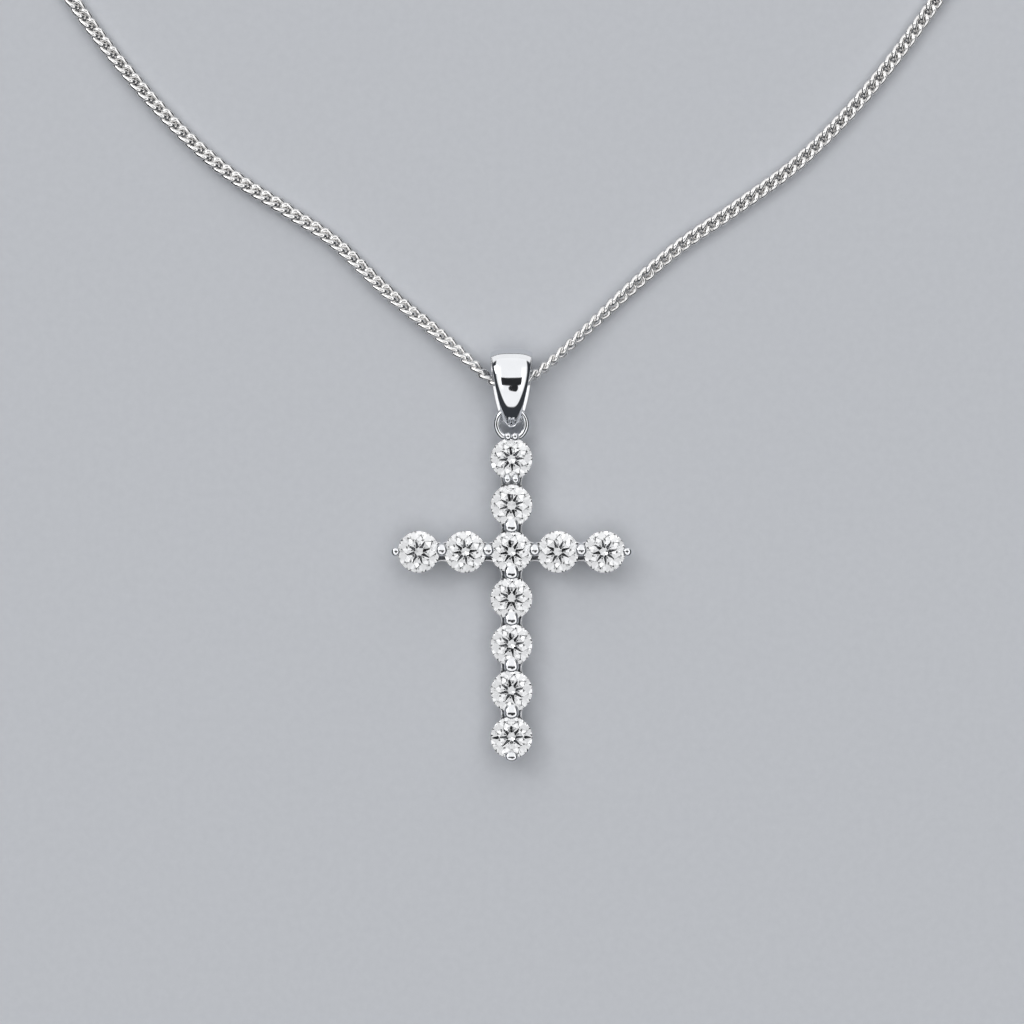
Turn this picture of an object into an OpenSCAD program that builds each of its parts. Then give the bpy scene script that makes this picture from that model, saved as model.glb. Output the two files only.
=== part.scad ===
// Cross pendant on a curb chain, laid flat and face up, in millimetres.
// +Z is up from the surface, +Y runs from the foot of the cross to the clasp.
// The origin is on the surface, at the middle of the necklace's outline.

/* [Stones] */
// Diameter of each round brilliant
stone_d = 3.0; // [2.6:0.1:3.4]
// Space between two neighbouring stones
stone_space = 0.3; // [0.25:0.01:0.4]
// Width of the table, corner to corner, as a share of the diameter
table_share = 0.57; // [0.53:0.01:0.62]
// Angle of the kite facets of the crown, in degrees
crown_angle = 34.5; // [32:0.5:36]
// Angle of the main facets of the pavilion, in degrees
pavilion_angle = 40.8; // [40:0.2:42]
// Height of the girdle
girdle_h = 0.09; // [0.05:0.01:0.15]
// Gap between a stone and the metal round it
stone_gap = 0.04; // [0.03:0.01:0.06]

/* [Setting] */
// Height of the point of a stone above the back of the cross
culet_lift = 0.25; // [0.15:0.01:0.4]
// Height of the lower gallery rail
base_h = 0.32; // [0.25:0.01:0.4]
// Height of the upper gallery rail
rail_h = 0.38; // [0.3:0.01:0.45]
// Width of both gallery rails across their wire
rail_w = 0.3; // [0.25:0.01:0.35]
// Distance from the girdle down to the top of the upper rail
rail_drop = 0.25; // [0.2:0.01:0.3]
// Distance from the edge of a stone in to the outside of the upper rail
rail_inset = 0.09; // [0.06:0.01:0.15]
// Distance from the outside of the upper rail in to the outside of the lower one
base_inset = 0.28; // [0.2:0.01:0.35]
// Width of the bridge between two stones on the upright
upright_bridge_w = 1.54; // [1.3:0.02:1.7]
// Width of the bridge between two stones on the arms
arm_bridge_w = 1.34; // [1.2:0.02:1.6]
// Thickness of the side walls of a bridge
bridge_wall = 0.2; // [0.16:0.01:0.26]
// Thickness of the floor of a bridge
bridge_floor = 0.28; // [0.2:0.01:0.35]
// Height of a bridge's floor above the lower rail
bridge_lift = 0.12; // [0.08:0.01:0.2]
// How far the walls of a bridge stay below the top of the upper rail
wall_step = 0.06; // [0.04:0.01:0.1]
// Height of the claws' tips above the tables of the stones
claw_rise = 0.16; // [0.03:0.01:0.2]
// Radius of a shared claw on the upright
upright_claw_r = 0.42; // [0.36:0.01:0.46]
// Radius of a shared claw on the arms
arm_claw_r = 0.33; // [0.28:0.01:0.38]
// Radius of the claw at each end of the arms
end_claw_r = 0.28; // [0.24:0.01:0.34]
// Radius of each claw of a pair
pair_claw_r = 0.26; // [0.22:0.01:0.28]
// Distance between the two claws of a pair
pair_spread = 0.6; // [0.56:0.02:0.7]
// Distance from the edge of a stone out to the middle of an end claw's tip
end_claw_out = 0.22; // [0.1:0.01:0.28]
// Distance from the edge of the top stone out to the middle of its claws' tips
top_claw_out = 0.05; // [0:0.01:0.1]
// Distance from the edge of the lowest stone in to the middle of its claw's tip
foot_claw_in = 0.22; // [0.1:0.01:0.3]
// Distance of a shared upright claw past the middle between its stones, towards the bail
claw_shift = 0.13; // [0:0.01:0.2]
// How far a shared upright claw's tip leans over the stone above it
claw_lean = 0.24; // [0.1:0.02:0.3]

/* [Top ring] */
// Diameter of the ring's wire
ring_wire_d = 0.55; // [0.4:0.01:0.6]
// Outer diameter of the ring
ring_d = 2.66; // [2.6:0.02:2.9]
// How deep the ring is let into the rail of the top stone
ring_sink = 0.28; // [0.2:0.01:0.4]

/* [Bail] */
// Length of the bail
bail_len = 5.8; // [5.6:0.1:7]
// Width of the bail at its crown
bail_w = 3.0; // [2.6:0.1:3.6]
// Width of the bail at its tip
bail_tip_w = 0.6; // [0.5:0.02:0.8]
// Depth of the bail at its crown, front to back
crown_depth = 2.5; // [2.4:0.1:3]
// Depth of the bail at its tip, front to back
tip_depth = 1.4; // [1.3:0.05:1.6]
// Radius of the bulge of the front leaf, seen from the side
front_r = 3.6; // [3.4:0.1:5]
// Thickness of the bail's wall along its middle
bail_wall = 0.42; // [0.36:0.01:0.48]
// How far the edges of the wall fall back behind its middle
bail_dome = 0.2; // [0.1:0.01:0.22]
// Gap between the bail's tip and the claws above the top stone
tip_gap = 0.25; // [0.15:0.05:0.35]

/* [Chain] */
// Width of the curb chain across its flat face
chain_w = 1.2; // [1:0.05:1.3]
// Thickness of the curb chain
chain_t = 0.74; // [0.6:0.02:0.8]
// Gap between the chain and the metal that it passes
chain_gap = 0.12; // [0.1:0.02:0.2]
// Distance from the tip of the bail up to the lowest point of the chain in it
chain_rise = 3.2; // [3:0.05:3.4]

/* [Clasp] */
// Outer diameter of the clasp's ring
clasp_d = 5.4; // [4.6:0.2:7]
// Diameter of the clasp's wire
clasp_wire_d = 0.9; // [0.8:0.05:1.2]
// Diameter of the thumb catch on the clasp
catch_d = 0.62; // [0.5:0.02:0.7]
// Outer diameter of the eyelets that hold the ends of the chain
eyelet_d = 2.0; // [1.8:0.1:2.6]
// Diameter of the eyelets' wire
eyelet_wire_d = 0.5; // [0.4:0.02:0.6]

/* [Hidden] */
$fn = 48;
// Overlap of pieces that are one casting
joint_overlap = 0.06;
// Shares of a claw's radius: its foot, its post, and the arm and the tip that lean over a stone
CLAW_FOOT = 0.7;
CLAW_POST = 0.97;
CLAW_ARM = 0.9;
CLAW_TIP = 0.93;
// Turn of the thumb catch round the clasp, from its top
CATCH_TURN = -62;

// Each stone's node, its column and row on the grid of the cross, and its turn
STONES = [
    ["stone_upper_2", 0, 2, 4], ["stone_upper_1", 0, 1, 17], ["stone_centre", 0, 0, 11],
    ["stone_lower_1", 0, -1, 20], ["stone_lower_2", 0, -2, 8],
    ["stone_lower_3", 0, -3, 13], ["stone_lower_4", 0, -4, 1],
    ["stone_left_2", -2, 0, 15], ["stone_left_1", -1, 0, 6],
    ["stone_right_1", 1, 0, 18], ["stone_right_2", 2, 0, 9]];
TOP_ROW = 2;
FOOT_ROW = -4;
ARM_COLUMN = 2;
stone_pitch = stone_d + stone_space;

// Heights and radii of a stone, from the back of the cross
stone_r = stone_d / 2;
table_r = stone_r * table_share;
crown_h = (stone_r - table_r) * tan(crown_angle);
pavilion_h = stone_r * tan(pavilion_angle);
girdle_low = culet_lift + pavilion_h;
girdle_top = girdle_low + girdle_h;
table_z = girdle_top + crown_h;
// How far in from the girdle the star facets and the lower halves reach, as shares
star_share = 0.48;
lower_half_share = 0.76;
star_r = stone_r - star_share * (stone_r - table_r * cos(22.5));
star_z = table_z - crown_h * (star_r * cos(22.5) - table_r) / (stone_r - table_r);
lower_r = stone_r * (1 - lower_half_share);
lower_z = girdle_low - (stone_r - lower_r * cos(22.5)) * tan(pavilion_angle);

// Gallery rails and claws
rail_r = stone_r - rail_inset;
rail_top = girdle_low - rail_drop;
rail_low = rail_top - rail_h;
base_r = rail_r - base_inset;
claw_top = table_z + claw_rise;
claw_foot_y = base_r - rail_w / 2;
top_claw_y = stone_r + top_claw_out;
foot_claw_y = stone_r - foot_claw_in;
end_claw_y = stone_r + end_claw_out;

// Top ring, let into the upper rail of the top stone
top_stone_y = TOP_ROW * stone_pitch;
ring_r = (ring_d - ring_wire_d) / 2;
ring_y = top_stone_y + rail_r + ring_d / 2 - ring_sink;
ring_z = rail_low;

// Bail, whose tip hangs in the top ring
tip_y = top_stone_y + top_claw_y + pair_claw_r + tip_gap;
bail_top_y = tip_y + bail_len;
crown_r = crown_depth / 2;
tip_r = tip_depth / 2;
crown_c = [bail_top_y - crown_r, crown_r];
tip_c = [tip_y + tip_r, tip_r];
front_c = arc_centre(crown_c, front_r - crown_r, tip_c, front_r - tip_r);
// How late the front and the back leaf narrow towards the tip
FRONT_TAPER = 2.0;
BACK_TAPER = 2.6;
// Wall of the bail cut across: share of half the width, shares of the dome and the wall
BAIL_SECTION = [
    [-1, 1.3, 0], [-0.92, 0.9, 0], [-0.65, 0.42, 0], [-0.33, 0.1, 0], [0, 0, 0],
    [0.33, 0.1, 0], [0.65, 0.42, 0], [0.92, 0.9, 0], [1, 1.3, 0],
    [0.97, 0, 1], [-0.97, 0, 1]];

// Route of the chain's two halves, from the lowest point in the bail to the clasp:
// across, along, share of the lift over the bail's back leaf, roll from the flat face
RIGHT_ROUTE = [
    [1.5, 0.6, 1, 84], [3.1, 1.9, 0.55, 78], [5.3, 3.9, 0.1, 66],
    [8.4, 6.8, 0, 40], [12.0, 9.9, 0, 24], [16.1, 12.7, 0, 12],
    [20.8, 16.2, 0, 10], [25.6, 21.2, 0, 12], [30.4, 27.6, 0, 10],
    [37.4, 38.0, 0, 6], [45.8, 52.4, 0, 0], [54.0, 71.4, 0, 0],
    [59.6, 93.4, 0, 0], [60.4, 116.6, 0, 0], [54.0, 138.6, 0, 0],
    [40.4, 155.4, 0, 0], [23.2, 164.8, 0, 0], [10.2, 167.6, 0, 0]];
LEFT_ROUTE = [
    [-1.5, 0.4, 1, 100], [-3.0, 1.7, 0.55, 120], [-5.5, 3.9, 0.1, 138],
    [-8.9, 6.7, 0, 144], [-12.6, 10.2, 0, 148], [-15.9, 12.4, 0, 154],
    [-20.9, 15.7, 0, 160], [-25.9, 20.6, 0, 164], [-31.4, 27.6, 0, 168],
    [-38.0, 38.0, 0, 174], [-45.8, 52.4, 0, 180], [-54.0, 71.4, 0, 180],
    [-59.6, 93.4, 0, 180], [-60.4, 116.6, 0, 180], [-54.0, 138.6, 0, 180],
    [-40.4, 155.4, 0, 180], [-23.2, 164.8, 0, 180], [-10.2, 167.6, 0, 180]];
// Height of the clasp's middle above the chain's lowest point
clasp_rise = 168.0;
CHAIN_SIDES = 8;
CHAIN_STEPS = 2;
chain_y = tip_y + chain_rise;
chain_lift = bail_wall + chain_gap;

// Clasp
clasp_r = (clasp_d - clasp_wire_d) / 2;
eyelet_r = (eyelet_d - eyelet_wire_d) / 2;
eyelet_x = clasp_d / 2 + eyelet_r - joint_overlap;
clasp_y = chain_y + clasp_rise;
clasp_z = clasp_wire_d / 2;
chain_end_x = eyelet_x + eyelet_d / 2 + chain_gap;
chain_end_lift = (clasp_z - chain_t / 2) / chain_lift;

// The outline's middle is moved to the origin
foot_y = FOOT_ROW * stone_pitch - foot_claw_y - upright_claw_r;
far_y = clasp_y + clasp_d / 2;
cross_at = [0, -(foot_y + far_y) / 2, 0];

// Centre of a circle at distance ra from a and rb from b, below the line from a to b
function arc_centre(a, ra, b, rb) =
    let (d = norm(b - a), along = (b - a) / d, m = (ra * ra - rb * rb + d * d) / (2 * d))
    a + m * along + sqrt(ra * ra - m * m) * [-along[1], along[0]];
function angle_of(v) = atan2(v[1], v[0]);
function polar(r, a, z) = [r * cos(a), r * sin(a), z];
function reversed(list) = [for (i = [len(list) - 1:-1:0]) list[i]];
// A point of the smooth curve that runs from b to c between its neighbours a and d
function smooth(a, b, c, d, t) =
    0.5 * (2 * b + (c - a) * t + (2 * a - 5 * b + 4 * c - d) * t * t
        + (3 * b - a - 3 * c + d) * t * t * t);
// The sides of a bar between the rings of its outline, from the first ring to the last
function skin(rings) =
    let (n = len(rings[0]))
    [for (i = [0:len(rings) - 2], k = [0:n - 1])
        [i * n + k, (i + 1) * n + k, (i + 1) * n + (k + 1) % n, i * n + (k + 1) % n]];
function joined(rings) = [for (ring = rings) for (p = ring) p];

module stone(column, row, turn) {
    // Rings of corners: table, star tips, girdle top, girdle foot, pavilion halves, point
    points = concat(
        [for (k = [0:7]) polar(table_r, 45 * k, table_z)],
        [for (k = [0:7]) polar(star_r, 45 * k + 22.5, star_z)],
        [for (k = [0:15]) polar(stone_r, 22.5 * k, girdle_top)],
        [for (k = [0:15]) polar(stone_r, 22.5 * k, girdle_low)],
        [for (k = [0:7]) polar(lower_r, 45 * k + 22.5, lower_z)],
        [[0, 0, culet_lift]]);
    star = 8;
    upper = 16;
    lower = 32;
    half = 48;
    point = 56;
    faces = concat(
        [[for (k = [7:-1:0]) k]],
        [for (k = [0:7]) [k, (k + 1) % 8, star + k]],
        [for (k = [0:7]) [k, star + k, upper + 2 * k, star + (k + 7) % 8]],
        [for (k = [0:7]) [star + k, upper + 2 * k + 1, upper + 2 * k]],
        [for (k = [0:7]) [star + k, upper + (2 * k + 2) % 16, upper + 2 * k + 1]],
        [for (k = [0:15]) [upper + k, upper + (k + 1) % 16, lower + (k + 1) % 16, lower + k]],
        [for (k = [0:7]) [half + k, lower + 2 * k, lower + 2 * k + 1]],
        [for (k = [0:7]) [half + k, lower + 2 * k + 1, lower + (2 * k + 2) % 16]],
        [for (k = [0:7]) [point, half + (k + 7) % 8, lower + 2 * k, half + k]]);
    color("white")
        translate(cross_at + stone_pitch * [column, row, 0])
            rotate([0, 0, turn])
                polyhedron(points, faces);
}

// The space of one stone with the gap round it, which the metal is cut to
module seat() {
    rotate_extrude()
        polygon([
            [0, culet_lift - stone_gap / cos(pavilion_angle)],
            [stone_r + stone_gap, girdle_low - stone_gap],
            [stone_r + stone_gap, girdle_top + stone_gap / 2],
            [star_r + stone_gap, star_z + stone_gap],
            [table_r + stone_gap, table_z + stone_gap],
            [0, table_z + stone_gap]]);
}

module gallery_ring(r, h) {
    linear_extrude(h)
        difference() {
            circle(r);
            circle(r - rail_w);
        }
}

// The two gallery rails under one stone
module basket() {
    gallery_ring(base_r, base_h);
    translate([0, 0, rail_low])
        gallery_ring(rail_r, rail_h);
}

// A claw in the plane across the cross's rim, from its foot up to its domed tip
module claw(r, from, to) {
    rise = to - from;
    translate([0, from[0], from[1]])
        rotate([-atan2(rise[0], rise[1]), 0, 0])
            cylinder(h = norm(rise), r1 = r * CLAW_FOOT, r2 = r * CLAW_POST);
    translate([0, to[0], to[1]])
        sphere(r = r);
}

// A claw that stands straight up between two stones
module shared_claw(r) {
    cylinder(h = claw_top - r, r = r * CLAW_POST);
    translate([0, 0, claw_top - r])
        sphere(r = r);
}

// A shared claw whose tip leans towards +Y over the stone there
module leaning_claw(r) {
    shared_claw(r);
    translate([0, 0, claw_top - r]) {
        rotate([-90, 0, 0])
            cylinder(h = claw_lean, r = r * CLAW_ARM);
        translate([0, claw_lean, 0])
            sphere(r = r * CLAW_TIP);
    }
}

// A claw that rises outwards from the lower rail at an end of the cross
module outer_claw(r, tip_at) {
    claw(r, [claw_foot_y, base_h / 2], [tip_at, claw_top - r]);
}

module pair() {
    for (side = [-1, 1])
        translate([side * pair_spread / 2, 0, 0])
            children();
}

// The bridge between two stones, along Y: two hollow side walls and a floor, above
// a bar that joins the lower rails
module bridge(width) {
    mid = stone_pitch / 2;
    // Each side wall is an arc that runs into the round of the upper rails
    fillet_r = (mid * mid + width * width / 4 - rail_r * rail_r) / (2 * rail_r - width);
    reach = mid * fillet_r / (fillet_r + rail_r) - joint_overlap;
    wall_low = base_h + bridge_lift;
    wall_h = rail_top - wall_low - wall_step;
    base_reach = mid - base_r + joint_overlap;
    translate([0, 0, wall_low])
        for (side = [-1, 1])
            linear_extrude(wall_h)
                intersection() {
                    translate([side * (width / 2 + fillet_r), 0])
                        difference() {
                            circle(fillet_r + bridge_wall);
                            circle(fillet_r);
                        }
                    translate([side * width / 2, 0])
                        square([width, 2 * reach], center = true);
                }
    translate([-width / 2 + bridge_wall / 2, -reach, wall_low])
        cube([width - bridge_wall, 2 * reach, bridge_floor]);
    translate([-width / 4, -base_reach, 0])
        cube([width / 2, 2 * base_reach, base_h]);
}

module upright_joints() {
    for (row = [FOOT_ROW:TOP_ROW - 1])
        translate([0, (row + 0.5) * stone_pitch, 0]) {
            bridge(upright_bridge_w);
            translate([0, claw_shift, 0])
                if (row == TOP_ROW - 1) pair() shared_claw(pair_claw_r);
                else leaning_claw(upright_claw_r);
        }
}

module arm_joints() {
    for (side = [-1, 1], column = [0:ARM_COLUMN - 1])
        translate([side * (column + 0.5) * stone_pitch, 0, 0]) {
            rotate([0, 0, 90]) bridge(arm_bridge_w);
            shared_claw(arm_claw_r);
        }
}

module end_claws() {
    for (side = [-1, 1])
        translate([side * ARM_COLUMN * stone_pitch, 0, 0])
            rotate([0, 0, -90 * side])
                outer_claw(end_claw_r, end_claw_y);
    translate([0, FOOT_ROW * stone_pitch, 0])
        rotate([0, 0, 180])
            outer_claw(upright_claw_r, foot_claw_y);
    translate([0, top_stone_y, 0])
        pair() outer_claw(pair_claw_r, top_claw_y);
}

module top_ring() {
    translate([0, ring_y, ring_z])
        rotate_extrude()
            translate([ring_r, 0]) circle(d = ring_wire_d);
}

// The setting is one casting: rails, bridges, claws and the ring at the top
module cross_frame() {
    color("silver")
        translate(cross_at)
            difference() {
                union() {
                    for (s = STONES)
                        translate(stone_pitch * [s[1], s[2], 0]) basket();
                    upright_joints();
                    arm_joints();
                    end_claws();
                    top_ring();
                }
                for (s = STONES)
                    translate(stone_pitch * [s[1], s[2], 0]) seat();
            }
}

// Stations of the bail seen from the side, as centre, radius, direction and taper:
// down the crown, along the back leaf, round the tip and up the front leaf
function bail_stations() =
    let (crown_a = angle_of(crown_c - front_c), tip_a = angle_of(tip_c - front_c))
    concat(
        [for (i = [0:7]) [crown_c, crown_r, -90 * i / 8, BACK_TAPER]],
        [for (i = [0:5]) [crown_c + (tip_c - crown_c) * i / 6,
            crown_r + (tip_r - crown_r) * i / 6, -90, BACK_TAPER]],
        [for (i = [0:4]) [tip_c, tip_r, -90 - 90 * i / 5, BACK_TAPER]],
        [for (i = [0:2]) [tip_c, tip_r, 180 - (180 - tip_a) * i / 3, FRONT_TAPER]],
        [for (i = [0:11]) [front_c, front_r, tip_a + (crown_a - tip_a) * i / 12,
            FRONT_TAPER]],
        [for (i = [0:7]) [crown_c, crown_r, crown_a * (1 - i / 8), FRONT_TAPER]],
        [[crown_c, crown_r, 0, FRONT_TAPER]]);

// Outline of the bail's wall at a station: domed outside, straight inside
function bail_ring(station) =
    let (out = [cos(station[2]), sin(station[2])], face = station[0] + station[1] * out,
        narrowing = pow(max(0, (bail_top_y - face[0]) / bail_len), station[3]),
        half = (bail_w - (bail_w - bail_tip_w) * narrowing) / 2,
        dome = bail_dome * half / (bail_w / 2))
    [for (s = BAIL_SECTION)
        let (p = face - (s[1] * dome + s[2] * bail_wall) * out)
        [s[0] * half, p[0], p[1]]];

module bail() {
    rings = [for (station = bail_stations()) bail_ring(station)];
    last = len(rings) - 1;
    n = len(BAIL_SECTION);
    // The last ring lies on the first one, so the sides close on that
    sides = [for (face = skin(rings)) [for (i = face) i % (last * n)]];
    color("silver")
        translate(cross_at)
            polyhedron(joined([for (i = [0:last - 1]) rings[i]]), sides);
}

// Height of the chain's middle when it rests on the surface at a roll
function rest_z(roll) = norm([chain_w / 2 * sin(roll), chain_t / 2 * cos(roll)]);

// One ring of the chain's outline round point p, square to direction d
function chain_ring(p, d) =
    let (flat = cross([0, 0, 1], d) / norm(cross([0, 0, 1], d)), rise = cross(d, flat),
        wide = cos(p[3]) * flat + sin(p[3]) * rise,
        thick = cos(p[3]) * rise - sin(p[3]) * flat)
    [for (k = [0:CHAIN_SIDES - 1]) let (a = 360 * k / CHAIN_SIDES)
        [p[0], p[1], p[2]] + chain_w / 2 * cos(a) * wide + chain_t / 2 * sin(a) * thick];

// The chain's middle line from the left end at the clasp to the right end,
// as across, along, height and roll
function chain_path() =
    let (table = concat(
            [[-chain_end_x, clasp_rise, chain_end_lift, 180]], reversed(LEFT_ROUTE),
            [[0, 0, 1, 90]],
            RIGHT_ROUTE, [[chain_end_x, clasp_rise, chain_end_lift, 0]]),
        keys = [for (p = table) [p[0], p[1], p[2] * chain_lift + rest_z(p[3]), p[3]]],
        last = len(keys) - 1)
    concat(
        [for (i = [0:last - 1], j = [0:CHAIN_STEPS - 1])
            smooth(keys[max(i - 1, 0)], keys[i], keys[i + 1], keys[min(i + 2, last)],
                j / CHAIN_STEPS)],
        [keys[last]]);

// The curb chain, as an oval bar with the outline of its links
module chain() {
    path = chain_path();
    last = len(path) - 1;
    rings = [for (i = [0:last])
        let (d = path[min(i + 1, last)] - path[max(i - 1, 0)], u = [d[0], d[1], d[2]])
        chain_ring(path[i], u / norm(u))];
    ends = [[for (k = [0:CHAIN_SIDES - 1]) k],
        [for (k = [CHAIN_SIDES - 1:-1:0]) last * CHAIN_SIDES + k]];
    color("silver")
        translate(cross_at + [0, chain_y, 0])
            polyhedron(joined(rings), concat(skin(rings), ends));
}

// The clasp: a plain ring with a thumb catch and an eyelet at each side
module clasp() {
    color("silver")
        translate(cross_at + [0, clasp_y, clasp_z]) {
            rotate_extrude()
                translate([clasp_r, 0]) circle(d = clasp_wire_d);
            for (side = [-1, 1])
                translate([side * eyelet_x, 0, 0])
                    rotate_extrude()
                        translate([eyelet_r, 0]) circle(d = eyelet_wire_d);
            rotate([0, 0, CATCH_TURN])
                translate([0, clasp_r, 0])
                    rotate([-90, 0, 0])
                        cylinder(h = clasp_wire_d, d = catch_d);
        }
}

cross_frame();
bail();
chain();
clasp();
for (s = STONES)
    stone(s[1], s[2], s[3]);
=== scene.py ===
"""Cross pendant on a curb chain, lying face up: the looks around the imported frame."""
import math

import bmesh
import bpy
from mathutils import Matrix, Vector


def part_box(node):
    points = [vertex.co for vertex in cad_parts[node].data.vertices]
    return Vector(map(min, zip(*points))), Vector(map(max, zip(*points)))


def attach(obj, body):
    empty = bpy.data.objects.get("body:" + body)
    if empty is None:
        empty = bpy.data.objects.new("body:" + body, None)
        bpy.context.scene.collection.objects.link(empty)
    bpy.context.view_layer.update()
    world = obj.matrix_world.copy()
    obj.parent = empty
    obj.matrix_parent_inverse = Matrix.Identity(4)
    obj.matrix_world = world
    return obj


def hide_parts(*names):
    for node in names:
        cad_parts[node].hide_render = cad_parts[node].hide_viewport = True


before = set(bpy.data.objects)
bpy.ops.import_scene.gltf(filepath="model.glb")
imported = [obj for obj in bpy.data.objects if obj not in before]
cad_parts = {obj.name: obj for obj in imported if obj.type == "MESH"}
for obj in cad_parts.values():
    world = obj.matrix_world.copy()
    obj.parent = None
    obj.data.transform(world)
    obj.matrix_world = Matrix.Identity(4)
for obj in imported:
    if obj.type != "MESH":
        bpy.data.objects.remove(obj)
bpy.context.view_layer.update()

# Everything below is in millimetres but for the studio, and each finished piece is brought to
# metres
MM = 0.001
# Points closer than this are one point
MERGE = 1e-4
# Steps round a ring, sides of its round wire, and steps in a round corner of a flat one
RING_STEPS = 56
WIRE_SIDES = 20
CORNER_STEPS = 3


def box_mm(node):
    """Lowest and highest corner of a node of the frame, in millimetres."""
    low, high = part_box(node)
    return low / MM, high / MM


# Cross: the stones' grid, counted from the centre stone
centre_low, centre_high = box_mm("stone_centre")
CROSS_Y = (centre_low.y + centre_high.y) / 2
CULET_Z = centre_low.z
TABLE_Z = centre_high.z
STONE_PITCH = 3.3
STONE_R = 1.5
TOP_ROW = 2
FOOT_ROW = -4
ARM_COLUMN = 2
STONE_PLACES = [(0, row) for row in range(FOOT_ROW, TOP_ROW + 1)]
STONE_PLACES += [(column, 0) for column in range(-ARM_COLUMN, ARM_COLUMN + 1) if column]
PAVILION_ANGLE = 40.8
CROWN_ANGLE = 34.5
PAVILION_SLOPE = math.tan(math.radians(PAVILION_ANGLE))
CROWN_SLOPE = math.tan(math.radians(CROWN_ANGLE))
GIRDLE_H = 0.09
GIRDLE_Z = CULET_Z + STONE_R * PAVILION_SLOPE
TABLE_R = STONE_R - (TABLE_Z - GIRDLE_Z - GIRDLE_H) / CROWN_SLOPE
SEAT_GAP = 0.03
SEAT_STEPS = 48
GIRDLE_FROST = 0.35

# Setting: two gallery rails under each stone, bridges and claws
RAIL_W = 0.3
RAIL_ROUND = 0.1
UPPER_RAIL_R = 1.41
UPPER_RAIL_H = 0.38
RAIL_UNDER_GIRDLE = 0.25
UPPER_RAIL_TOP = GIRDLE_Z - RAIL_UNDER_GIRDLE
LOWER_RAIL_R = 1.13
LOWER_RAIL_H = 0.32
UPRIGHT_BRIDGE_W = 1.54
ARM_BRIDGE_W = 1.34
BRIDGE_WALL = 0.2
BRIDGE_WALL_LOW = 0.44
BRIDGE_WALL_DROP = 0.06
BRIDGE_WALL_STEPS = 12
BRIDGE_FLOOR_H = 0.28
BRIDGE_ROUND = 0.07
JOINT_SINK = 0.1
CLAW_OVER_TABLE = 0.16
CLAW_TOP = TABLE_Z + CLAW_OVER_TABLE
CLAW_NECK_H = 0.3
CLAW_SIDES = 24
CLAW_LEAN = 0.22
LEAN_EASE = 0.15
# A post's width at its foot, and the heights in the neck at which it spreads to the head
CLAW_FOOT_SHARE = 0.9
CLAW_NECK_SHARES = (0.35, 0.7)
# The claws' ground domes: share of the height, share of the width
CLAW_DOME_H = 0.34
CLAW_DOME = [(0, 1), (0.3, 0.98), (0.55, 0.93), (0.75, 0.84), (0.88, 0.7), (0.96, 0.46), (1, 0.1)]
# Each claw's half width, reach towards the foot of the cross, reach towards the bail
UPRIGHT_CLAW = (0.52, 0.34, 0.9)
ARM_CLAW = (0.41, 0.36, 0.6)
END_CLAW = (0.34, 0.36, 0.34)
FOOT_CLAW = (0.48, 0.3, 0.5)
PAIR_CLAW = (0.3, 0.3, 0.5)
TOP_CLAW = (0.29, 0.31, 0.31)
UPRIGHT_CLAW_Y = 0.02
PAIR_CLAW_Y = 0.15
ARM_CLAW_Y = 0.05
END_CLAW_OUT = 0.14
FOOT_CLAW_OUT = -0.1
TOP_CLAW_OUT = 0.07
PAIR_SPREAD = 0.58
TOP_SPREAD = 0.5
POST_R = 0.26
SLIM_POST_R = 0.19
CLAW_FOOT_Y = 0.98
CLAW_FOOT_Z = 0.2

# Ring soldered to the top of the cross
RING_Y = 9.06
RING_Z = UPPER_RAIL_TOP - UPPER_RAIL_H
RING_R = 1.055
RING_WIRE_R = 0.275

# Bail: a tapered loop, widest at its crown
bail_low, bail_high = box_mm("bail")
BAIL_TOP_Y = bail_high.y
BAIL_TIP_Y = bail_low.y
BAIL_LEN = BAIL_TOP_Y - BAIL_TIP_Y
CROWN_R = 1.25
TIP_R = 0.7
FRONT_R = 3.6
CROWN_HALF_W = bail_high.x
TIP_HALF_W = 0.45
BAIL_WALL = 0.42
BAIL_DOME = 0.24
BAIL_CORNER = 0.12
BAIL_CORNER_SHARE = 0.25
BAIL_INNER_CORNER = 0.03
BAIL_DOME_POWER = 3
BAIL_DOME_STEPS = 10
BAIL_CORNER_STEPS = 5
BAIL_INSIDE_STEPS = 3
FRONT_TAPER = 1.5
BACK_TAPER = 2.6
# Share of the length at which the tip starts to round off, and what the rounding takes
TIP_ROUND_AT = 0.907
TIP_ROUND = 0.112
# Steps down the crown, along the back leaf, round the tip, up the front leaf, over the crown
CROWN_DOWN_STEPS = 18
BACK_LEAF_STEPS = 16
TIP_UNDER_STEPS = 14
TIP_OVER_STEPS = 8
FRONT_LEAF_STEPS = 36
CROWN_OVER_STEPS = 20

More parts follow.
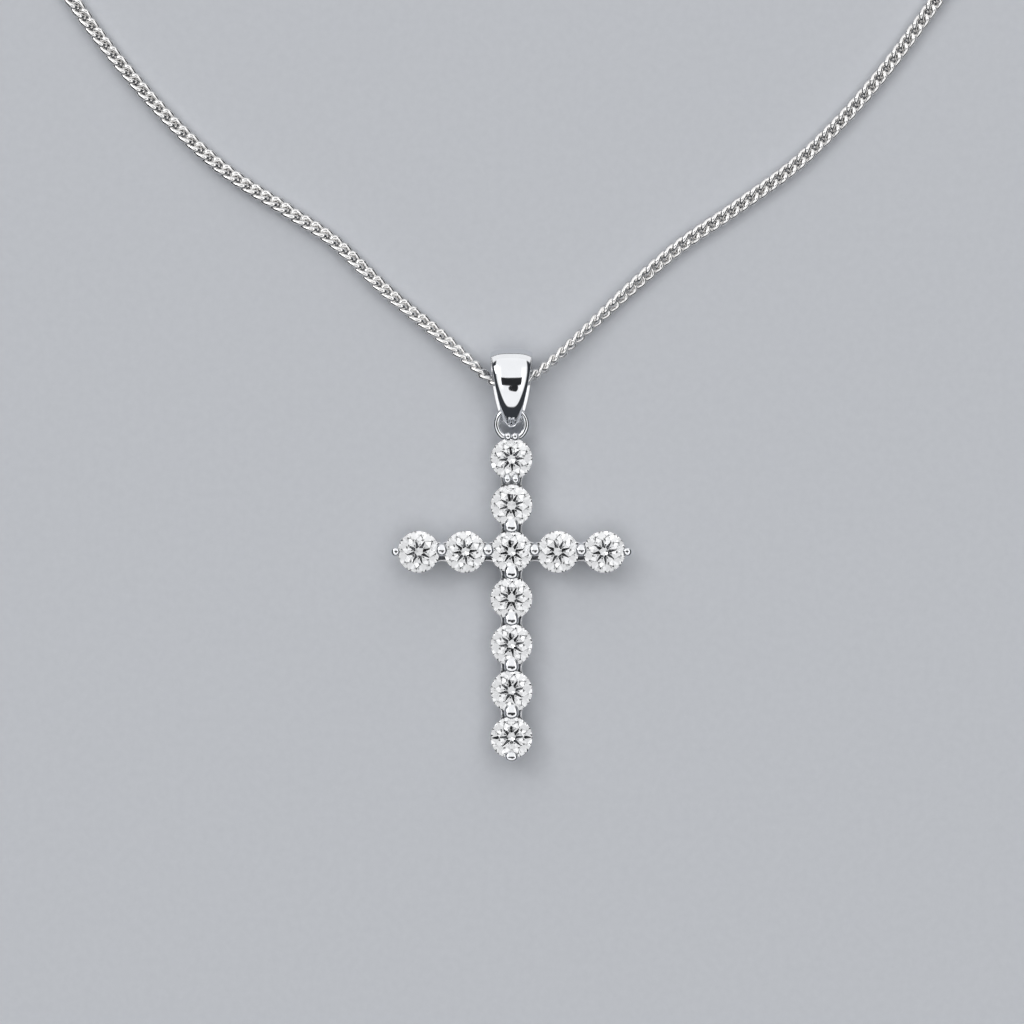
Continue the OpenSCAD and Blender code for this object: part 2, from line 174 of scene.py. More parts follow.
# Chain: its route from the lowest point, in the bail, to the clasp, as
# across, along, share of the lift over the bail's back leaf, roll from the flat face
RIGHT_ROUTE = [
    (1.5, 0.6, 1, 84), (3.1, 1.9, 0.55, 78), (5.3, 3.9, 0.1, 66),
    (8.4, 6.8, 0, 40), (12.0, 9.9, 0, 24), (16.1, 12.7, 0, 12),
    (20.8, 16.2, 0, 10), (25.6, 21.2, 0, 12), (30.4, 27.6, 0, 10),
    (37.4, 38.0, 0, 6), (45.8, 52.4, 0, 0), (54.0, 71.4, 0, 0),
    (59.6, 93.4, 0, 0), (60.4, 116.6, 0, 0), (54.0, 138.6, 0, 0),
    (40.4, 155.4, 0, 0), (23.2, 164.8, 0, 0), (10.2, 167.6, 0, 0)]
LEFT_ROUTE = [
    (-1.5, 0.4, 1, 100), (-3.0, 1.7, 0.55, 120), (-5.5, 3.9, 0.1, 138),
    (-8.9, 6.7, 0, 144), (-12.6, 10.2, 0, 148), (-15.9, 12.4, 0, 154),
    (-20.9, 15.7, 0, 160), (-25.9, 20.6, 0, 164), (-31.4, 27.6, 0, 168),
    (-38.0, 38.0, 0, 174), (-45.8, 52.4, 0, 180), (-54.0, 71.4, 0, 180),
    (-59.6, 93.4, 0, 180), (-60.4, 116.6, 0, 180), (-54.0, 138.6, 0, 180),
    (-40.4, 155.4, 0, 180), (-23.2, 164.8, 0, 180), (-10.2, 167.6, 0, 180)]
CHAIN_OVER_TIP = 3.2
CHAIN_Y = BAIL_TIP_Y + CHAIN_OVER_TIP
CHAIN_END_X = 4.51
CHAIN_GAP = 0.12
CHAIN_LIFT = BAIL_WALL + CHAIN_GAP
CHAIN_STEPS = 60
CHAIN_HALF_W = 0.6
CHAIN_HALF_T = 0.37
LINK_PITCH = 0.84
LINK_WIRE_R = 0.21
LINK_HALF_W = 0.38
LINK_SLACK = 0.01
LINK_HALF_LEN = LINK_PITCH / 2 + LINK_WIRE_R + LINK_SLACK
LINK_TWIST = -0.2
LINK_FACE = 0.36
LINK_SIDES = 12
LINK_WIRE_SIDES = 6
FIRST_LINK_AT = LINK_HALF_LEN + LINK_WIRE_R

# Clasp
clasp_low, clasp_high = box_mm("clasp")
CLASP_X = (clasp_low.x + clasp_high.x) / 2
CLASP_R = 2.25
CLASP_WIRE_R = 0.45
CLASP_Y = clasp_high.y - CLASP_R - CLASP_WIRE_R
CATCH_R = 0.31
CATCH_ANGLE = -62
CATCH_SIDES = 20
# The catch: distance from the ring's middle, share of the width
CATCH_PROFILE = [(0, 0.8), (0.4, 0.8), (0.5, 0.95), (0.6, 1), (0.75, 1), (0.85, 0.9), (0.9, 0.6)]
EYELET_R = 0.75
EYELET_WIRE_R = 0.25
EYELET_WIRE_SIDES = 16
EYELET_X = 3.39

# Small oval rings between the chain's ends and the eyelets
END_RING_WIRE_R = 0.09
END_RING_WIRE_SIDES = 10
END_RING_STEPS = 20
END_RING_HALF_LEN = 0.62
END_RING_HALF_H = 0.36
END_RING_OUT = 0.06

# Studio, in metres: each soft light's way from straight above in degrees (towards +X, towards
# +Y), its distance, width, height, glow, and the share of it that fades out at its edge
SOFT_BOXES = [
    ("back_box", (0, 74), 3.0, 7.4, 1.5, 0.95, 0.3),
    ("left_strip", (-29, 16), 1.5, 0.6, 1.9, 0.4, 0.8),
    ("right_strip", (29, 12), 1.5, 0.65, 1.9, 0.6, 0.8),
    ("key_box", (-38, 38), 2.5, 0.9, 0.9, 5.0, 0.6)]
UMBRELLA = ("umbrella", (0, 5), 1.5, 3.3, 5.0, 1.0, 0.14)
# Dark cards: way, distance, width, height and number of sides, and the share of it that is
# left open in a ring that the stones alone show. A round card is 1.41 times as wide as stated
DARK_CARDS = [
    ("upper_card", (0, 7), 1.2, 1.1, 0.385, 4, 0),
    ("lens_card", (5, -8), 1.2, 0.24, 0.24, 24, 0),
    ("star_card", (0, 0.54), 0.3, 0.125, 0.125, 48, 0.68)]
CARD_BLACK = (0.02, 0.02, 0.02, 1)
FLOOR_HALF = 6.0
FLOOR_DROP = 0.00002
ROOM_COLOUR = (0.8, 0.88, 1, 1)
ROOM_GLOW = 0.05

# Finishes: colours of the metal where it is polished and of the satin links, and a dark grey
# painted on the bridge floors between the stones as painted shade in their recesses
WHITE_METAL = (0.86, 0.87, 0.89)
LINK_METAL = (0.93, 0.92, 0.91)
PAINTED_SHADE_METAL = (0.3, 0.31, 0.33)

# Camera, in millimetres: its height, the width that it sees on the floor, and the middle of
# the picture from the middle of the cross. Its near limit is in metres
SENSOR_W = 36
CAMERA_HEIGHT = 300
VIEW_W = 73.14
VIEW_MIDDLE = (0.036, 2.83)
CLIP_START = 0.01


def node_of(tree, kind, inputs=(), **settings):
    """A node of that kind with its settings and input values."""
    node = tree.nodes.new(kind)
    for name, value in settings.items():
        setattr(node, name, value)
    for name, value in inputs:
        node.inputs[name].default_value = value
    return node


def new_material(name):
    """A material with its node tree and its surface shader."""
    material = bpy.data.materials.new(name)
    material.use_nodes = True
    tree = material.node_tree
    return material, tree, tree.nodes["Principled BSDF"]


def polished_white_metal(name, colour, smooth, worn, scratch):
    """Rhodium-plated silver: clouds of polish and wear, and fine scratches of the polishing."""
    material, tree, surface = new_material(name)
    surface.inputs["Metallic"].default_value = 1.0
    place = node_of(tree, "ShaderNodeTexCoord")
    clouds = node_of(tree, "ShaderNodeTexNoise", [("Scale", 900.0), ("Detail", 6.0)])
    tree.links.new(place.outputs["Object"], clouds.inputs["Vector"])
    polish = node_of(tree, "ShaderNodeMapRange", [("To Min", smooth), ("To Max", worn)])
    tree.links.new(clouds.outputs["Fac"], polish.inputs["Value"])
    tree.links.new(polish.outputs["Result"], surface.inputs["Roughness"])
    tint = node_of(tree, "ShaderNodeValToRGB")
    tint.color_ramp.elements[0].position = 0.3
    tint.color_ramp.elements[0].color = (*[0.96 * part for part in colour], 1)
    tint.color_ramp.elements[1].position = 0.7
    tint.color_ramp.elements[1].color = (*colour, 1)
    tree.links.new(clouds.outputs["Fac"], tint.inputs["Fac"])
    tree.links.new(tint.outputs["Color"], surface.inputs["Base Color"])
    stretch = node_of(tree, "ShaderNodeMapping", [("Rotation", (0.3, 0.2, 0.6)),
                                                  ("Scale", (1.0, 14.0, 1.0))])
    tree.links.new(place.outputs["Object"], stretch.inputs["Vector"])
    strokes = node_of(tree, "ShaderNodeTexNoise", [("Scale", 2400.0), ("Detail", 3.0)])
    tree.links.new(stretch.outputs["Vector"], strokes.inputs["Vector"])
    relief = node_of(tree, "ShaderNodeBump", [("Strength", scratch), ("Distance", 2e-6)])
    tree.links.new(strokes.outputs["Fac"], relief.inputs["Height"])
    tree.links.new(relief.outputs["Normal"], surface.inputs["Normal"])
    return material


def clear_cut_stone(name):
    """A colourless brilliant: clear, with the faintest veil of polish and a frosted girdle."""
    material, tree, surface = new_material(name)
    surface.inputs["Transmission Weight"].default_value = 1.0
    surface.inputs["IOR"].default_value = 2.42
    place = node_of(tree, "ShaderNodeTexCoord")
    veil = node_of(tree, "ShaderNodeTexNoise", [("Scale", 1500.0), ("Detail", 2.0)])
    tree.links.new(place.outputs["Object"], veil.inputs["Vector"])
    polish = node_of(tree, "ShaderNodeMapRange", [("To Min", 0.0), ("To Max", 0.012)])
    tree.links.new(veil.outputs["Fac"], polish.inputs["Value"])
    height = node_of(tree, "ShaderNodeSeparateXYZ")
    tree.links.new(place.outputs["Object"], height.inputs["Vector"])
    girdle = node_of(tree, "ShaderNodeMath", operation="COMPARE")
    girdle.inputs[1].default_value = (GIRDLE_Z + GIRDLE_H / 2) * MM
    girdle.inputs[2].default_value = GIRDLE_H / 2 * MM
    tree.links.new(height.outputs["Z"], girdle.inputs[0])
    frosted = node_of(tree, "ShaderNodeMath", operation="MULTIPLY_ADD")
    frosted.inputs[1].default_value = GIRDLE_FROST
    tree.links.new(girdle.outputs["Value"], frosted.inputs[0])
    tree.links.new(polish.outputs["Result"], frosted.inputs[2])
    tree.links.new(frosted.outputs["Value"], surface.inputs["Roughness"])
    tint = node_of(tree, "ShaderNodeValToRGB")
    tint.color_ramp.elements[0].color = (0.97, 0.98, 1.0, 1)
    tint.color_ramp.elements[1].color = (1.0, 1.0, 1.0, 1)
    tree.links.new(veil.outputs["Fac"], tint.inputs["Fac"])
    tree.links.new(tint.outputs["Color"], surface.inputs["Base Color"])
    return material


def pale_card(name):
    """The pale board under the pendant, with a faint tooth."""
    material, tree, surface = new_material(name)
    place = node_of(tree, "ShaderNodeTexCoord")
    tooth = node_of(tree, "ShaderNodeTexNoise", [("Scale", 1800.0), ("Detail", 5.0)])
    tree.links.new(place.outputs["Object"], tooth.inputs["Vector"])
    tint = node_of(tree, "ShaderNodeValToRGB")
    tint.color_ramp.elements[0].color = (0.66, 0.68, 0.72, 1)
    tint.color_ramp.elements[1].color = (0.72, 0.74, 0.78, 1)
    tree.links.new(tooth.outputs["Fac"], tint.inputs["Fac"])
    tree.links.new(tint.outputs["Color"], surface.inputs["Base Color"])
    surface.inputs["Roughness"].default_value = 0.85
    surface.inputs["Specular IOR Level"].default_value = 0.15
    return material


def edges_of(verts):
    """The edges that join the given vertices."""
    return list({edge for vert in verts for edge in vert.link_edges})


def grown(bm, rim):
    """Extrudes a closed rim and returns the new vertices in the old ones' order."""
    place = {vert: i for i, vert in enumerate(rim)}
    edges = [edge for edge in edges_of(rim) if all(vert in place for vert in edge.verts)]
    made = bmesh.ops.extrude_edge_only(bm, edges=edges)["geom"]
    ordered = [None] * len(rim)
    for vert in made:
        if isinstance(vert, bmesh.types.BMVert):
            old = next(other for edge in vert.link_edges for other in edge.verts if other in place)
            ordered[place[old]] = vert
    return ordered


def drawn_through(outlines, closed=False):
    """A bar's skin: a round rim laid on the first outline, then extruded to each next one.
    It is closed by its two ends, or on itself."""
    bm = bmesh.new()
    rim = bmesh.ops.create_circle(bm, segments=len(outlines[0]), radius=1)["verts"]
    for number, outline in enumerate(outlines):
        if number:
            rim = grown(bm, rim)
        for vert, point in zip(rim, outline):
            vert.co = point
    open_edges = [edge for edge in bm.edges if edge.is_boundary]
    if closed:
        bmesh.ops.bridge_loops(bm, edges=open_edges)
    else:
        bmesh.ops.holes_fill(bm, edges=open_edges, sides=0)
    bmesh.ops.recalc_face_normals(bm, faces=bm.faces)
    return bm


def wire_rim(radius, sides):
    """Starts a ring of round wire."""
    return lambda bm: bmesh.ops.create_circle(bm, segments=sides, radius=radius)["verts"]


def flat_rim(width, height, corner):
    """Starts a ring of flat wire with round corners."""
    def start(bm):
        corners = bmesh.ops.create_grid(bm, x_segments=1, y_segments=1, size=0.5)["verts"]
        bmesh.ops.scale(bm, vec=(width, height, 1), verts=corners)
        bmesh.ops.bevel(bm, geom=corners, offset=corner, segments=CORNER_STEPS, profile=0.5,
                        affect="VERTICES", material=-1)
        bmesh.ops.delete(bm, geom=bm.faces[:], context="FACES_ONLY")
        return bm.verts[:]
    return start


def flat_outline(width, height, corner):
    """Outline of a flat bar with round corners, across and up."""
    points = []
    for quarter in range(4):
        side = 1 if quarter in (0, 3) else -1
        rise = 1 if quarter < 2 else -1
        for step in range(CORNER_STEPS + 1):
            angle = math.radians(90 * quarter + 90 * step / CORNER_STEPS)
            points.append(Vector((side * (width / 2 - corner) + corner * math.cos(angle),
                                  rise * (height / 2 - corner) + corner * math.sin(angle), 0)))
    return points


def ring_of(start, radius, at, steps=RING_STEPS):
    """A closed ring round Z: the rim that start makes, stood up and spun."""
    bm = bmesh.new()
    rim = start(bm)
    stood = Matrix.Translation((radius, 0, 0)) @ Matrix.Rotation(math.pi / 2, 4, "X")
    bmesh.ops.transform(bm, matrix=stood, verts=rim)
    bmesh.ops.spin(bm, geom=edges_of(rim) + rim, axis=(0, 0, 1), cent=(0, 0, 0),
                   angle=2 * math.pi, steps=steps, use_merge=True)
    bmesh.ops.remove_doubles(bm, verts=bm.verts, dist=MERGE)
    bmesh.ops.translate(bm, vec=at, verts=bm.verts)
    bmesh.ops.recalc_face_normals(bm, faces=bm.faces)
    return bm


def facing(point, direction):
    """Place of a level bar's outline: its middle and the way that the bar goes."""
    along = Vector(direction).normalized()
    up = Vector((0, 0, 1))
    turn = Matrix((up.cross(along), up, along)).transposed().to_4x4()
    return Matrix.Translation(point) @ turn


def to_mesh(bm, name):
    """Turns a bmesh into a mesh and frees it."""
    mesh = bpy.data.meshes.new(name)
    bm.to_mesh(mesh)
    bm.free()
    return mesh


def soldered(name, parts, cuts=()):
    """One bmesh of several closed parts grown together, with the cuts taken out of it."""
    piece = bpy.data.objects.new(name, to_mesh(parts[0], name))
    bpy.context.collection.objects.link(piece)
    tools = []
    for operation, group in (("UNION", parts[1:]), ("DIFFERENCE", cuts)):
        for part in group:
            tool = bpy.data.objects.new("tool", to_mesh(part, "tool"))
            bpy.context.collection.objects.link(tool)
            tools.append(tool)
            joint = piece.modifiers.new("joint", "BOOLEAN")
            joint.operation = operation
            joint.solver = "MANIFOLD"
            joint.object = tool
    graph = bpy.context.evaluated_depsgraph_get()
    mesh = bpy.data.meshes.new_from_object(piece.evaluated_get(graph))
    for used in [piece] + tools:
        used_mesh = used.data
        bpy.data.objects.remove(used)
        bpy.data.meshes.remove(used_mesh)
    bm = bmesh.new()
    bm.from_mesh(mesh)
    bpy.data.meshes.remove(mesh)
    bmesh.ops.remove_doubles(bm, verts=bm.verts, dist=MERGE)
    return bm


def finish_piece(name, bm, materials, replaced, smooth_angle=35):
    """Makes the piece in metres, smooth up to an angle, riding on the frame."""
    bmesh.ops.scale(bm, vec=(MM, MM, MM), verts=bm.verts)
    mesh = to_mesh(bm, name)
    for material in materials:
        mesh.materials.append(material)
    mesh.polygons.foreach_set("use_smooth", [True] * len(mesh.polygons))
    mesh.set_sharp_from_angle(angle=math.radians(smooth_angle))
    piece = bpy.data.objects.new(name, mesh)
    bpy.context.collection.objects.link(piece)
    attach(piece, "root")
    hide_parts(replaced)


def rail(outer_r, height, low, x, y):
    """One gallery rail round a stone."""
    return ring_of(flat_rim(RAIL_W, height, RAIL_ROUND), outer_r - RAIL_W / 2,
                   (x, y, low + height / 2))


def seat(x, y):
    """The room of one stone, which the metal is cut to."""
    bm = bmesh.new()
    outline = [
        (0, CULET_Z - SEAT_GAP), (STONE_R + SEAT_GAP, GIRDLE_Z - SEAT_GAP),
        (STONE_R + SEAT_GAP, GIRDLE_Z + GIRDLE_H + SEAT_GAP),
        (TABLE_R + SEAT_GAP, TABLE_Z + SEAT_GAP), (0, TABLE_Z + SEAT_GAP)]
    verts = [bm.verts.new((r, 0, z)) for r, z in outline]
    edges = [bm.edges.new(pair) for pair in zip(verts, verts[1:])]
    bmesh.ops.spin(bm, geom=verts + edges, axis=(0, 0, 1), cent=(0, 0, 0),
                   angle=2 * math.pi, steps=SEAT_STEPS, use_merge=True)
    bmesh.ops.remove_doubles(bm, verts=bm.verts, dist=MERGE)
    bmesh.ops.translate(bm, vec=(x, y, 0), verts=bm.verts)
    bmesh.ops.recalc_face_normals(bm, faces=bm.faces)
    return bm


def claw(shape, head_y, foot_y, foot_z, post_r, lean=CLAW_LEAN):
    """A claw on a round post, with its head ground to a dome that leans along Y. Its shape is
    its half width, and how far it reaches below and above its middle along Y."""
    half_w, low, reach = shape
    shoulder_z = CLAW_TOP - CLAW_DOME_H
    neck_z = shoulder_z - CLAW_NECK_H
    neck_y = foot_y + (head_y - foot_y) * (neck_z - foot_z) / (shoulder_z - foot_z)
    stations = [(foot_z, foot_y, 0, CLAW_FOOT_SHARE), (neck_z, neck_y, 0, 1)]
    stations += [(shoulder_z - CLAW_NECK_H * (1 - share), head_y, share, 1)
                 for share in CLAW_NECK_SHARES]
    stations += [(shoulder_z + CLAW_DOME_H * rise, head_y, 1, size) for rise, size in CLAW_DOME]
    outlines = []
    for z, y, spread, size in stations:
        outline = []
        for step in range(CLAW_SIDES):
            angle = 2 * math.pi * step / CLAW_SIDES
            across = math.cos(angle)
            along = math.sin(angle)
            far = reach if along > 0 else low
            point_y = y + along * (post_r + (far - post_r) * spread) * size
            past = max(0.0, (point_y - head_y) * math.copysign(1, lean)) * spread
            fall = abs(lean) * past * past / (past + LEAN_EASE)
            outline.append((across * (post_r + (half_w - post_r) * spread) * size,
                            point_y, z - fall))
        outlines.append(outline)
    return drawn_through(outlines)


def bridge(width):
    """The parts of a bridge along Y: two hollow side walls, a floor and a lower bar."""
    mid = STONE_PITCH / 2
    inward_r = ((mid ** 2 + width ** 2 / 4 - UPPER_RAIL_R ** 2)
                / (2 * UPPER_RAIL_R - width))
    reach = mid * inward_r / (inward_r + UPPER_RAIL_R) + JOINT_SINK
    wall_top = UPPER_RAIL_TOP - BRIDGE_WALL_DROP
    wall_h = wall_top - BRIDGE_WALL_LOW
    parts = []
    wall = flat_outline(BRIDGE_WALL, wall_h, BRIDGE_ROUND)
    for side in (-1, 1):
        centre = Vector((side * (width / 2 + inward_r), 0, BRIDGE_WALL_LOW + wall_h / 2))
        radius = inward_r + BRIDGE_WALL / 2
        swing = math.asin(reach / radius)
        outlines = []
        for step in range(BRIDGE_WALL_STEPS + 1):
            angle = swing * (2 * step / BRIDGE_WALL_STEPS - 1)
            out = Vector((-side * math.cos(angle), math.sin(angle), 0))
            place = facing(centre + radius * out, (side * out.y, -side * out.x, 0))
            outlines.append([place @ point for point in wall])
        parts.append(drawn_through(outlines))
    floor_z = BRIDGE_WALL_LOW + BRIDGE_FLOOR_H / 2
    bar_reach = mid - LOWER_RAIL_R + JOINT_SINK
    bars = [(width - BRIDGE_WALL, BRIDGE_FLOOR_H, reach, floor_z),
            (width / 2, LOWER_RAIL_H, bar_reach, LOWER_RAIL_H / 2)]
    for across, high, half, z in bars:
        bar = flat_outline(across, high, BRIDGE_ROUND)
        ends = [facing((0, y, z), (0, 1, 0)) for y in (-half, half)]
        parts.append(drawn_through([[place @ point for point in bar] for place in ends]))
    return parts


def moved(parts, matrix):
    """The same parts, brought to their place."""
    for bm in parts:
        bmesh.ops.transform(bm, matrix=matrix, verts=bm.verts)
    return parts


def pair_of_claws(shape, spread, head_y, foot_y, lean):
    """Two slim claws side by side."""
    parts = []
    for side in (-1, 1):
        one = claw(shape, head_y, foot_y, CLAW_FOOT_Z, SLIM_POST_R, lean)
        parts += moved([one], Matrix.Translation((side * spread / 2, 0, 0)))
    return parts


def upright_joint(row):
    """Bridge and claws between two stones of the upright."""
    parts = bridge(UPRIGHT_BRIDGE_W)
    if row == TOP_ROW - 1:
        parts += pair_of_claws(PAIR_CLAW, PAIR_SPREAD, PAIR_CLAW_Y, PAIR_CLAW_Y, CLAW_LEAN)
    else:
        parts.append(claw(UPRIGHT_CLAW, UPRIGHT_CLAW_Y, UPRIGHT_CLAW_Y, BRIDGE_WALL_LOW, POST_R))
    return moved(parts, Matrix.Translation((0, (row + 0.5) * STONE_PITCH, 0)))


def arm_joint(column):
    """Bridge and claw between two stones of an arm."""
    parts = moved(bridge(ARM_BRIDGE_W), Matrix.Rotation(math.pi / 2, 4, "Z"))
    parts.append(claw(ARM_CLAW, ARM_CLAW_Y, 0, BRIDGE_WALL_LOW, POST_R))
    return moved(parts, Matrix.Translation(((column + 0.5) * STONE_PITCH, 0, 0)))


def end_claws():
    """The claws that rise outwards from the lower rail at the four ends of the cross."""
    parts = []
    for side in (-1, 1):
        turn = Matrix.Rotation(-side * math.pi / 2, 4, "Z")
        place = Matrix.Translation((side * ARM_COLUMN * STONE_PITCH, 0, 0)) @ turn
        arm_end = claw(END_CLAW, STONE_R + END_CLAW_OUT, CLAW_FOOT_Y, CLAW_FOOT_Z, SLIM_POST_R)
        parts += moved([arm_end], place)
    foot = claw(FOOT_CLAW, -STONE_R - FOOT_CLAW_OUT, -CLAW_FOOT_Y, CLAW_FOOT_Z, POST_R)
    parts += moved([foot], Matrix.Translation((0, FOOT_ROW * STONE_PITCH, 0)))
    top = pair_of_claws(TOP_CLAW, TOP_SPREAD, STONE_R + TOP_CLAW_OUT, CLAW_FOOT_Y, -CLAW_LEAN)
    parts += moved(top, Matrix.Translation((0, TOP_ROW * STONE_PITCH, 0)))
    return parts


def cross_setting(metal, painted_recess_shade):
    """The cast setting with the ring at its top; the floors between the stones get a dark grey,
    painted shade in the recesses.
    """
    parts = []
    cuts = []
    for column, row in STONE_PLACES:
        x = column * STONE_PITCH
        y = row * STONE_PITCH
        parts.append(rail(UPPER_RAIL_R, UPPER_RAIL_H, UPPER_RAIL_TOP - UPPER_RAIL_H, x, y))
        parts.append(rail(LOWER_RAIL_R, LOWER_RAIL_H, 0, x, y))
        cuts.append(seat(x, y))
    for row in range(FOOT_ROW, TOP_ROW):
        parts += upright_joint(row)
    for column in range(-ARM_COLUMN, ARM_COLUMN):
        parts += arm_joint(column)
    parts += end_claws()
    parts.append(ring_of(wire_rim(RING_WIRE_R, WIRE_SIDES), RING_R, (0, RING_Y, RING_Z)))
    bm = soldered("cross_setting", parts, cuts)
    # The upward faces of the bridge floors take the second material: a dark grey, painted shade in
    # the recesses between the stones
    floor_z = BRIDGE_WALL_LOW + BRIDGE_FLOOR_H
    for face in bm.faces:
        looks_up = face.normal.z > 0.5
        if looks_up and abs(face.calc_center_median().z - floor_z) < BRIDGE_ROUND:
            face.material_index = 1
    bmesh.ops.translate(bm, vec=(0, CROSS_Y, 0), verts=bm.verts)
    finish_piece("cross_setting", bm, [metal, painted_recess_shade], "cross_frame")


def arc_centre(a, ra, b, rb):
    """Centre of a circle at distance ra from a and rb from b, below the line from a to b."""
    span = b - a
    distance = span.length
    along = span / distance
    reach = (ra * ra - rb * rb + distance * distance) / (2 * distance)
    drop = math.sqrt(ra * ra - reach * reach)
    return a + reach * along + drop * Vector((-along.y, along.x))


def bail_stations():
    """Centre, radius, direction and taper down the crown, along the back leaf, round the tip
    and up the front leaf, in the plane of along and up."""
    crown = Vector((BAIL_TOP_Y - CROWN_R, CROWN_R))
    tip = Vector((BAIL_TIP_Y + TIP_R, TIP_R))
    front = arc_centre(crown, FRONT_R - CROWN_R, tip, FRONT_R - TIP_R)
    crown_way = crown - front
    tip_way = tip - front
    crown_angle = math.degrees(math.atan2(crown_way.y, crown_way.x))
    tip_angle = math.degrees(math.atan2(tip_way.y, tip_way.x))
    stations = [(crown, CROWN_R, -90 * i / CROWN_DOWN_STEPS, BACK_TAPER)
                for i in range(CROWN_DOWN_STEPS)]
    for i in range(BACK_LEAF_STEPS):
        share = i / BACK_LEAF_STEPS
        radius = CROWN_R + (TIP_R - CROWN_R) * share
        stations.append((crown.lerp(tip, share), radius, -90, BACK_TAPER))
    stations += [(tip, TIP_R, -90 - 90 * i / TIP_UNDER_STEPS, BACK_TAPER)
                 for i in range(TIP_UNDER_STEPS)]
    stations += [(tip, TIP_R, 180 - (180 - tip_angle) * i / TIP_OVER_STEPS, FRONT_TAPER)
                 for i in range(TIP_OVER_STEPS)]
    sweep = crown_angle - tip_angle
    stations += [(front, FRONT_R, tip_angle + sweep * i / FRONT_LEAF_STEPS, FRONT_TAPER)
                 for i in range(FRONT_LEAF_STEPS)]
    stations += [(crown, CROWN_R, crown_angle * (1 - i / CROWN_OVER_STEPS), FRONT_TAPER)
                 for i in range(CROWN_OVER_STEPS)]
    return stations


def bail_section(half):
    """Outline of the bail's wall, across and outwards: nearly flat in the middle, falling
    faster towards its round edges."""
    dome = BAIL_DOME * math.sqrt(half / CROWN_HALF_W)
    edge = math.atan(BAIL_DOME_POWER * dome / half)
    corner = min(BAIL_CORNER, half * BAIL_CORNER_SHARE)
    flat = half - corner * (1 - math.sin(edge))
    points = [(flat * i / BAIL_DOME_STEPS, -dome * abs(i / BAIL_DOME_STEPS) ** BAIL_DOME_POWER)
              for i in range(-BAIL_DOME_STEPS, BAIL_DOME_STEPS + 1)]
    rounded = []
    for step in range(1, BAIL_CORNER_STEPS + 1):
        turn = edge + (math.pi / 2 - edge) * step / BAIL_CORNER_STEPS
        rounded.append((flat + corner * (math.sin(turn) - math.sin(edge)),
                        -dome - corner * (math.cos(edge) - math.cos(turn))))
    inside = [(half, BAIL_INNER_CORNER - BAIL_WALL), (half - BAIL_INNER_CORNER, -BAIL_WALL)]
    points += rounded + inside
    points += [(flat * -i / BAIL_INSIDE_STEPS, -BAIL_WALL)
               for i in range(1 - BAIL_INSIDE_STEPS, BAIL_INSIDE_STEPS)]
    points += [(-across, depth) for across, depth in reversed(rounded + inside)]
    return points


def bail_piece(metal):
    """The bail, its outline drawn through the stations and closed on itself."""
    outlines = []
    for centre, radius, degrees, taper in bail_stations():
        angle = math.radians(degrees)
        out = Vector((math.cos(angle), math.sin(angle)))
        face = centre + radius * out
        share = max(0.0, (BAIL_TOP_Y - face.x) / BAIL_LEN)
        half = CROWN_HALF_W - (CROWN_HALF_W - TIP_HALF_W) * share ** taper
        past = max(0.0, share - TIP_ROUND_AT) / TIP_ROUND
        half *= math.sqrt(1 - past * past)
        places = [(across, face + depth * out) for across, depth in bail_section(half)]
        outlines.append([(across, place.x, place.y) for across, place in places])
    bm = drawn_through(outlines, closed=True)
    finish_piece("bail_loop", bm, [metal], "bail", smooth_angle=50)


def smooth_between(a, b, c, d, t):
    """Point of the smooth curve from b to c between its neighbours a and d."""
    return 0.5 * (2 * b + (c - a) * t + (2 * a - 5 * b + 4 * c - d) * t * t
                  + (3 * b - a - 3 * c + d) * t * t * t)


def chain_line():
    """The chain's middle line from the left end to the right one, as across, along, height
    and roll, in short steps."""
    end_lift = (CLASP_WIRE_R - CHAIN_HALF_T) / CHAIN_LIFT
    rise = CLASP_Y - CHAIN_Y
    table = [(-CHAIN_END_X, rise, end_lift, 180), *reversed(LEFT_ROUTE), (0, 0, 1, 90)]
    table += [*RIGHT_ROUTE, (CHAIN_END_X, rise, end_lift, 0)]
    keys = []
    for across, along, lift, roll in table:
        angle = math.radians(roll)
        rest = math.hypot(CHAIN_HALF_W * math.sin(angle), CHAIN_HALF_T * math.cos(angle))
        keys.append(Vector((across, along, lift * CHAIN_LIFT + rest, roll)))
    last = len(keys) - 1
    line = []
    for i in range(last):
        around = [keys[max(i - 1, 0)], keys[i], keys[i + 1], keys[min(i + 2, last)]]
        line += [smooth_between(*around, step / CHAIN_STEPS) for step in range(CHAIN_STEPS)]
    line.append(keys[last])
    return line


def link_places():
    """The place of every link, at equal steps along the chain's middle line."""
    line = chain_line()
    travelled = [0.0]
    for a, b in zip(line, line[1:]):
        travelled.append(travelled[-1] + (b.xyz - a.xyz).length)
    room = travelled[-1] - 2 * FIRST_LINK_AT
    count = round(room / LINK_PITCH)
    places = []
    i = 0
    for number in range(count + 1):
        at = FIRST_LINK_AT + room * number / count
        while travelled[i + 1] < at:
            i += 1
        share = (at - travelled[i]) / (travelled[i + 1] - travelled[i])
        point = line[i].lerp(line[i + 1], share)
        along = (line[i + 1].xyz - line[i].xyz).normalized()
        flat = Vector((0, 0, 1)).cross(along).normalized()
        rise = along.cross(flat)
        angle = math.radians(point.w)
        wide = math.cos(angle) * flat + math.sin(angle) * rise
        thick = math.cos(angle) * rise - math.sin(angle) * flat
        turn = Matrix((along, wide, thick)).transposed().to_4x4()
        places.append(Matrix.Translation(point.xyz + Vector((0, CHAIN_Y, 0))) @ turn)
    return places


